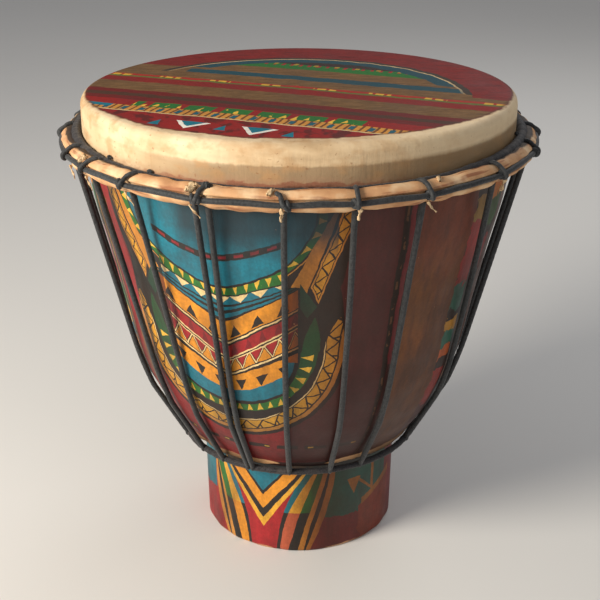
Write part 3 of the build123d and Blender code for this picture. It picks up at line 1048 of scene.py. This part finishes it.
def crumple(radius, turn, height):
    """The roll is lumpy and pinched at each hitch, the collar rippled, the top barely uneven."""
    on_roll = np.clip((radius - 130.6 * MM) / (2.0 * MM), 0, 1)
    lumps = waves(turn, height, 21, 9, (14, 70), (4.0, 9.0))
    pinch = np.exp(-(to_hitch(turn) / 1.6) ** 2)
    out = np.stack([radius - ROLL[0], height - ROLL[1]], -1)
    size = np.maximum(np.linalg.norm(out, axis=-1), 1e-6)
    shift = on_roll * (0.30 * lumps - 0.35 - 0.7 * pinch) * MM
    radius = radius + shift * out[..., 0] / size
    height = height + shift * out[..., 1] / size
    collar = np.clip((HEAD_TOP - 2 * MM - height) / (8 * MM), 0, 1) * (1 - on_roll)
    ripple = waves(turn, height, 23, 7, (8, 60), (30.0, 80.0))
    radius = radius + collar * np.where(radius > 129.5 * MM, 0.16, 0.0) * ripple * MM
    height = lapped(radius, turn, height)
    flat = np.clip((125 * MM - radius) / (10 * MM), 0, 1) * (height > HEAD_TOP - 0.4 * SKIN)
    height = height - flat * (0.10 + 0.08 * waves(turn, radius, 25, 5, (2, 9), (20.0, 50.0))) * MM
    return radius, height


def make_head():
    head = lathe("goatskin_head", head_outline(), 720, [hide_finish()], crumple, closed=False)
    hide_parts("head_skin")
    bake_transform(head)


# ================================================================ rings and ropes
def crown_at(degrees):
    """Crown ring at a bearing: radius, height and thickness. It sinks in at the front."""
    aside = np.abs((np.asarray(degrees) + 190) % 360 - 180)
    proud = np.clip((aside - 30) / 40, 0, 1)
    proud = proud * proud * (3 - 2 * proud)
    return CROWN[0] + 0.9 * MM * proud, CROWN[1] + (1.7 * proud - 0.3) * MM, CROWN_THICK + 0.9 * MM * proud


def girth_at(degrees):
    """Girth rope at a bearing: radius and height. It has worked down a little at the front."""
    aside = np.abs((np.asarray(degrees) + 180) % 360 - 180)
    return GIRTH[0] + 0 * aside, GIRTH[1] - 0.8 * MM * np.exp(-(aside / 42) ** 4)


def make_rings():
    cloth = wrap_finish()
    steel = steel_finish()
    rings = [
        ("crown_ring_bound", "crown_ring", CROWN, "crown"),
        ("bottom_ring_bound", "bottom_ring", RING, "drum"),
    ]
    for name, node, section, body in rings:
        degrees, up = whole_circle(section, 0.9 * MM)
        wander = 0.15 * MM * waves(degrees, 0 * degrees, 31, 4, (4, 20))
        if node == "crown_ring":
            radius, height, thick = crown_at(degrees)
        else:
            radius, height, thick = section[0], section[1], 0.88 * RING_THICK * np.ones(len(degrees))
        centres = polar(radius + wander, degrees, height + wander)
        lumps = 1 + 0.05 * waves(degrees, 0 * degrees, 33, 6, (20, 90))

        def tape(turn, along, size, thick=thick * lumps):
            return bound(turn, along, 1.0) * thick[:, None]

        points, faces = rope_mesh(centres, up, 1.0, tape, 16, closed=True)
        ring = make_object(name, points, faces, [cloth])
        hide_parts(node)
        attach(ring, body)
    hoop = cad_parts["flesh_hoop"]
    hoop.data.materials.clear()
    hoop.data.materials.append(steel)


def make_girth_rope(rope):
    degrees, up = whole_circle(GIRTH, 0.62 * MM)
    slack = np.clip(to_hitch(degrees) / 7.0, 0, 1)
    radius, height = girth_at(degrees)
    centres = polar(radius - (0.2 + 0.5 * slack) * MM, degrees, height + (0.7 * slack - 0.4) * MM)
    swell = 0.78 + 0.12 * slack

    def swollen(turn, along, radius):
        return braid(turn, along, radius) * swell[:, None]

    points, faces = rope_mesh(centres, up, GIRTH_THICK, swollen, 18, closed=True)
    girth = make_object("girth_rope_braid", points, faces, [rope])
    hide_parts("girth_rope")
    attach(girth, "crown")


def across_bearing(degrees):
    """Direction along a circle at a bearing, as one row per bearing."""
    angle = np.radians(degrees)
    return np.stack([np.cos(angle), np.sin(angle), 0 * angle], -1)


HITCH_THICK = 0.68 * ROPE_THICK
# by bearing: how far the front hitches lean to the right, and how far round the roll the short ones climb
HITCH_LEANS = {-67: 1.5, -55: 3.0, -40: 3.2, -21: 2.2, -3: -3.0, 12: 0.3, 28: -1.4, 50: -1.2}
CLIMBS = {-3: 56, -21: 76, -55: 88, -40: 86}
FULL_CLIMB = 112
NUBBED = (-55, -40, 71, 122, 209)    # hitches with a small knot beside them at the collar
PAIRED = -21                         # the hitch that carries two runs, and ends in a knot


def rounded_off(share):
    """Thickness of a lump along its length, which goes from -1 to 1."""
    return np.sqrt(np.maximum(1 - share**2, 0.02))[:, None]


def knot(radius, degrees, height, size):
    """A small lump of rope."""
    share = np.linspace(-1, 1, 11)
    around = degrees + share * 1.7 * np.degrees(size / radius)
    centres = polar(radius, around, height + 0 * share)

    def lump(turn, along, thick):
        return thick * rounded_off(share) * (1 + 0.14 * np.sin(3 * turn + along / (0.8 * MM)))

    return rope_mesh(centres, across_bearing(around), size, lump, 14)


def make_hitches(rope):
    """Each hitch climbs from a turn round the girth rope over the roll and tucks in at the crown ring."""
    for node, place in zip(HITCH_NODES, HITCH_BEARINGS):
        mark = round(place)
        lean = HITCH_LEANS.get(mark, RNG.uniform(-2.5, 2.5))
        girth = girth_at(place)
        over = GIRTH_THICK + 0.35 * HITCH_THICK
        hug = ROLL_THICK + (0.25 if mark in HITCH_LEANS else 0.0) * HITCH_THICK
        path = round_point(girth, over, np.radians([-80, -40, 0, 38]))
        top = CLIMBS.get(mark, FULL_CLIMB)
        climb = np.linspace(40, top, 3 + (top > 60) * 3)
        sink = np.linspace(0, 0.35 if top > 100 else 0, len(climb)) * HITCH_THICK
        path += round_point(ROLL, hug - sink, np.radians(climb))
        last = len(path) - 1
        line = smooth_line([(*p, place + lean * (k / last - 0.4)) for k, p in enumerate(path)], 10)
        centres = polar(line[:, 0], line[:, 2], line[:, 1])
        strand = rope_mesh(centres, across_bearing(line[:, 2]), HITCH_THICK, braid, 16,
                           taper=lambda s: np.minimum(1.0, 0.8 + 2 * np.minimum(s, 1 - s)))
        parts = [strand]
        loop = np.radians(np.arange(0, 360, 15.0))
        for shift in ((-0.7, 0.7) if mark == PAIRED else (-0.55,)):
            middle = place + shift - lean * 0.35 + 0.35 * np.cos(loop)
            wrap = GIRTH_THICK * 0.9
            around = polar(girth[0] + wrap * np.cos(loop), middle, girth[1] + wrap * np.sin(loop))
            parts.append(rope_mesh(around, across_bearing(middle), 1.2 * MM, braid, 10, closed=True))
        if mark in NUBBED:
            _, ring_height, ring_thick = crown_at(place)
            above = ring_height + ring_thick + 0.4 * MM
            parts.append(knot(HEAD_RADIUS + 1.3 * MM, place + 0.5 * lean + 1.6, above, 1.15 * MM))
        if mark == PAIRED:
            parts.append(knot(line[-1, 0] + 0.4 * MM, line[-1, 2], line[-1, 1], 1.9 * MM))
        points, faces = joined(parts)
        hitch = make_object(f"{node}_rope", points, faces, [rope])
        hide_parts(node)
        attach(hitch, "crown")


RUN_TOP = (137.4, 256.7)
RUN_THICK = 0.91 * ROPE_THICK
PAIR = (-25.5, -20.5)         # the two runs between these bearings close up at the ring
RUN_BELLY = [(105.9, 128.5), (98.2, 107.0)]
RUN_TURN = 68.5


def rounded(points, radii):
    """A line with its corners rounded to the given radii."""
    points = [np.array(p, float) for p in points]
    out = [points[0]]
    for before, corner, after, radius in zip(points, points[1:], points[2:], radii):
        a = (before - corner) / np.linalg.norm(before - corner)
        b = (after - corner) / np.linalg.norm(after - corner)
        half = math.acos(np.clip(a @ b, -1, 1)) / 2
        reach = radius / math.tan(half)
        t = np.linspace(0, 1, 9)[:, None]
        # a quadratic through the two tangent points stays within a tenth of a millimetre of the arc
        start, end = corner + a * reach, corner + b * reach
        out += list((1 - t) ** 2 * start + 2 * t * (1 - t) * corner + t**2 * end)
    return np.array([*out, points[-1]])


def run_line():
    """Radius and height of an upright run, from under the roll to its hook round the ring, in metres."""
    ring, thick = RING / MM, 0.88 * RING_THICK / MM
    outside, inside, bottom = ring[0] + thick - 0.4, ring[0] - 1.4, ring[1] - 0.9
    hook = [(outside, RUN_TURN + 0.5), (outside, bottom), (inside, bottom), (inside, ring[1] + 0.5)]
    return resample(rounded([RUN_TOP, *RUN_BELLY, *hook], [250, 42, 6, 0.9, 0.9]), 0.62) * MM


def make_runs(rope):
    line = run_line()
    for node in RUN_NODES:
        low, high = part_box(node)
        top = bearing(node, low=high.z - 4 * MM)
        bottom = bearing(node, high=low.z + 8 * MM)
        if abs(top - bottom) > 180:
            bottom += math.copysign(360, top - bottom)
        if PAIR[0] < bottom < PAIR[1]:
            bottom += 0.25 * (sum(PAIR) / 2 - bottom)
        share = np.clip((line[0, 1] - line[:, 1]) / (line[0, 1] - RUN_TURN * MM), 0, 1)
        degrees = top + (bottom - top) * share
        wander = waves(degrees * 0 + top * 7, line[:, 1], 41, 3, (1, 9), (18.0, 40.0))
        wander = 0.10 * wander * (1 - share) * share * 4
        centres = polar(line[:, 0], degrees + wander, line[:, 1])
        points, faces = rope_mesh(centres, across_bearing(degrees), RUN_THICK, braid, 18,
                                  taper=lambda s: 1 - 0.35 * np.clip((s - 0.955) / 0.03, 0, 1))
        run = make_object(f"{node}_rope", points, faces, [rope])
        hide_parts(node)
        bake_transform(run)


TIE_BEARINGS = [-64, -54, -39, -22, -3.6, 12.4, 29, 51]
BEADED = {-3.6, 12.4, 51}
# torn tufts of hide on the roll: bearing, degrees up the roll, size in millimetres
TUFTS = [(-22.9, 54, 3.2), (-57.4, 46, 2.8), (-5.9, 60, 2.1), (31.5, 74, 1.6)]


def tuft(bearing_at, up, size, seed):
    """A torn lump of hide that stands up from the roll."""
    share = np.linspace(-1, 1, 17)
    hug = ROLL_THICK + 0.1 * size * MM
    degrees = bearing_at + share * size * 0.42
    lift = np.radians(up + 16 * share + 8 * np.sin(share * 5))
    centres = polar(ROLL[0] + hug * np.cos(lift), degrees, ROLL[1] + hug * np.sin(lift))
    rng = np.random.default_rng(seed)
    phases = rng.uniform(0, 2 * math.pi, 6)

    def torn(turn, along, radius):
        ridges = 0.22 * np.sin(3 * turn + phases[0] + along / (0.9 * MM))
        ridges = ridges + 0.16 * np.sin(5 * turn + phases[1] - along / (0.5 * MM))
        ridges = ridges + 0.14 * np.sin(9 * turn + phases[2])
        return 0.55 * size * MM * rounded_off(share) * (1 + ridges)

    return rope_mesh(centres, across_bearing(degrees), 1.0, torn, 20)


def make_ties():
    """Pale twisted ends of the hide beside some runs, three of them knotted into beads, and torn tufts."""
    low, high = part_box("hide_ties")
    parts = [tuft(*spot, seed) for seed, spot in enumerate(TUFTS)]
    for degrees in TIE_BEARINGS:
        share = np.linspace(0, 1, 17)
        if degrees in BEADED:
            heights = GIRTH[1] - 2.0 * MM - 8.2 * MM * share
            bearings = degrees + 0.1 * np.sin(share * 5)
            radius = GIRTH[0] + (0.9 - 2.4 * share) * MM
            thick = 1.2 * MM * (0.5 + 0.6 * np.abs(np.sin(share * math.pi * 2)))
        else:
            heights = high.z + 1.6 * MM - (high.z - low.z) * share
            bearings = degrees - 1.2 + 2.4 * share**1.3
            radius = (142.0 + 0.3 * np.sin(share * 6)) * MM
            thick = MM * (1.0 - 0.6 * share) * (0.85 + 0.25 * np.sin(share * 14))
        centres = polar(radius, bearings, heights)

        def strip(turn, along, radius, thick=thick):
            flat = 0.72 + 0.38 * np.cos(2 * (turn + along / (2.2 * MM)))
            return thick[:, None] * flat

        parts.append(rope_mesh(centres, across_bearing(bearings), 1.0, strip, 12))
    points, faces = joined(parts)
    ties = make_object("hide_tie_ends", points, faces, [tie_finish()])
    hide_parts("hide_ties")
    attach(ties, "crown")


# ================================================================ studio
LAMPS_AIM = Vector((0, 0, 0.17))
FLOOR_HALF = 6.0
FLOOR_LINES = 13
# the camera stands in front, looks down by CAMERA_DOWN degrees and sees the whole drum
CAMERA_PLACE = (0, -0.71805, 0.45224)
CAMERA_DOWN = 22.83178
CAMERA_LENS = 72.47
CAMERA_SENSOR = 36.0
CAMERA_SHIFT = 1 / 600


def area_light(name, energy, size, azimuth, elevation, distance, colour=(1, 1, 1)):
    """Soft lamp aimed at the middle of the drum."""
    lamp = bpy.data.lights.new(name, "AREA")
    lamp.energy = energy
    lamp.shape = "DISK"
    lamp.size = size
    lamp.color = colour
    holder = bpy.data.objects.new(name, lamp)
    bpy.context.scene.collection.objects.link(holder)
    a, e = math.radians(azimuth), math.radians(elevation)
    out = Vector((math.sin(a) * math.cos(e), -math.cos(a) * math.cos(e), math.sin(e)))
    holder.location = LAMPS_AIM + out * distance
    holder.rotation_mode = "QUATERNION"
    holder.rotation_quaternion = (-out).to_track_quat("-Z", "Y")


def make_studio():
    scene = bpy.context.scene
    scene.view_settings.view_transform = "Standard"
    world = bpy.data.worlds.new("soft_world")
    world.use_nodes = True
    background = world.node_tree.nodes["Background"].inputs
    background["Color"].default_value = (0.90, 0.91, 0.95, 1)
    background["Strength"].default_value = 0.30
    scene.world = world
    area_light("key", 21.0, 0.55, -56, 24, 1.3, (1.0, 0.93, 0.82))
    area_light("fill", 2.4, 1.4, 40, 25, 1.8, (0.92, 0.95, 1.0))
    area_light("rim", 4.0, 0.8, 150, 40, 1.5)
    steps = np.linspace(-FLOOR_HALF, FLOOR_HALF, FLOOR_LINES)
    gx, gy = np.meshgrid(steps, steps)
    points = np.stack([gx, gy, gx * 0], -1).reshape(-1, 3)
    faces = grid_faces(FLOOR_LINES, FLOOR_LINES, False, False)
    floor = make_object("studio_floor", points, faces, [floor_finish()])


def make_camera():
    data = bpy.data.cameras.new("camera")
    camera = bpy.data.objects.new("camera", data)
    bpy.context.scene.collection.objects.link(camera)
    data.lens = CAMERA_LENS
    data.sensor_width = CAMERA_SENSOR
    data.shift_x = CAMERA_SHIFT
    camera.location = CAMERA_PLACE
    camera.rotation_euler = (math.radians(90 - CAMERA_DOWN), 0, 0)
    bpy.context.scene.camera = camera


make_camera()
make_studio()
make_shell()
make_head()
make_rings()
ROPE = rope_finish()
make_girth_rope(ROPE)
make_hitches(ROPE)
make_runs(ROPE)
make_ties()

bpy.context.view_layer.update()
